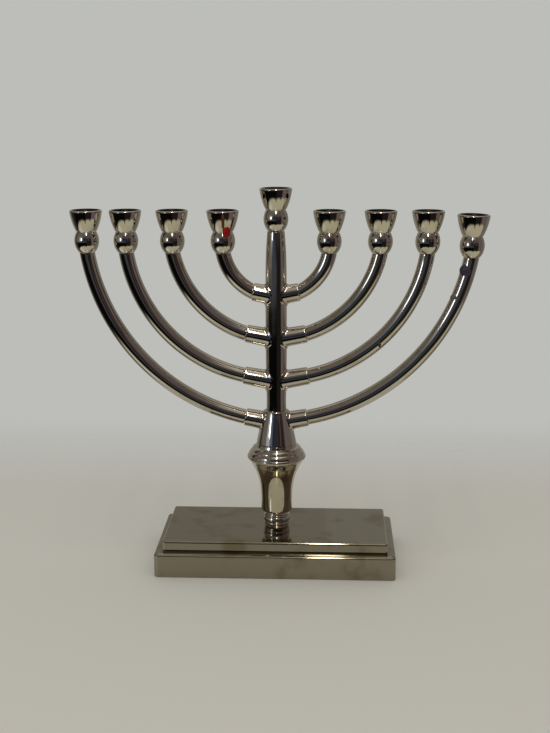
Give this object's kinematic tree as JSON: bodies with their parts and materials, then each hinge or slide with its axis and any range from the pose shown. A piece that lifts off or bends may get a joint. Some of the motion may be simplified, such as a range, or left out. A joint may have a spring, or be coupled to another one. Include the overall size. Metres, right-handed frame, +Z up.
{
  "type": "hanukkah menorah",
  "caption": "Hanukkah menorah: a rectangular stepped base, a turned column and a tall shaft carry curved arms with a candle cup each, and a raised helper cup in the middle.",
  "frame": {"origin": "middle of the base's underside, on the axis of the stem", "axes": "+Z up along the stem, X along the row of cups, -Y the front"},
  "size_m": [0.2321, 0.0666, 0.216],
  "materials": {
    "polished_nickel": "mirror-polished nickel plate with a warm tint",
    "satin_nickel": "satin nickel plate, softly mottled",
    "plain_steel": "plain turned steel"
  },
  "bodies": {
    "root": {"base_plinth": "satin_nickel", "base_tier": "satin_nickel", "foot_ring": "polished_nickel", "vase_column": "polished_nickel", "knop_collar": "polished_nickel", "cone_hub": "polished_nickel", "main_shaft": "polished_nickel", "tie_rod": "plain_steel", "clamp_washer": "plain_steel", "clamp_nut": "plain_steel", "cup_shamash": "polished_nickel", "stud_shamash": "plain_steel", "arm_left_1": "polished_nickel", "cup_left_1": "polished_nickel", "stud_left_1": "plain_steel", "arm_left_2": "polished_nickel", "cup_left_2": "polished_nickel", "stud_left_2": "plain_steel", "arm_left_3": "polished_nickel", "cup_left_3": "polished_nickel", "stud_left_3": "plain_steel", "arm_left_4": "polished_nickel", "cup_left_4": "polished_nickel", "stud_left_4": "plain_steel", "arm_right_1": "polished_nickel", "cup_right_1": "polished_nickel", "stud_right_1": "plain_steel", "arm_right_2": "polished_nickel", "cup_right_2": "polished_nickel", "stud_right_2": "plain_steel", "arm_right_3": "polished_nickel", "cup_right_3": "polished_nickel", "stud_right_3": "plain_steel", "arm_right_4": "polished_nickel", "cup_right_4": "polished_nickel", "stud_right_4": "plain_steel"}
  },
  "joints": []
}
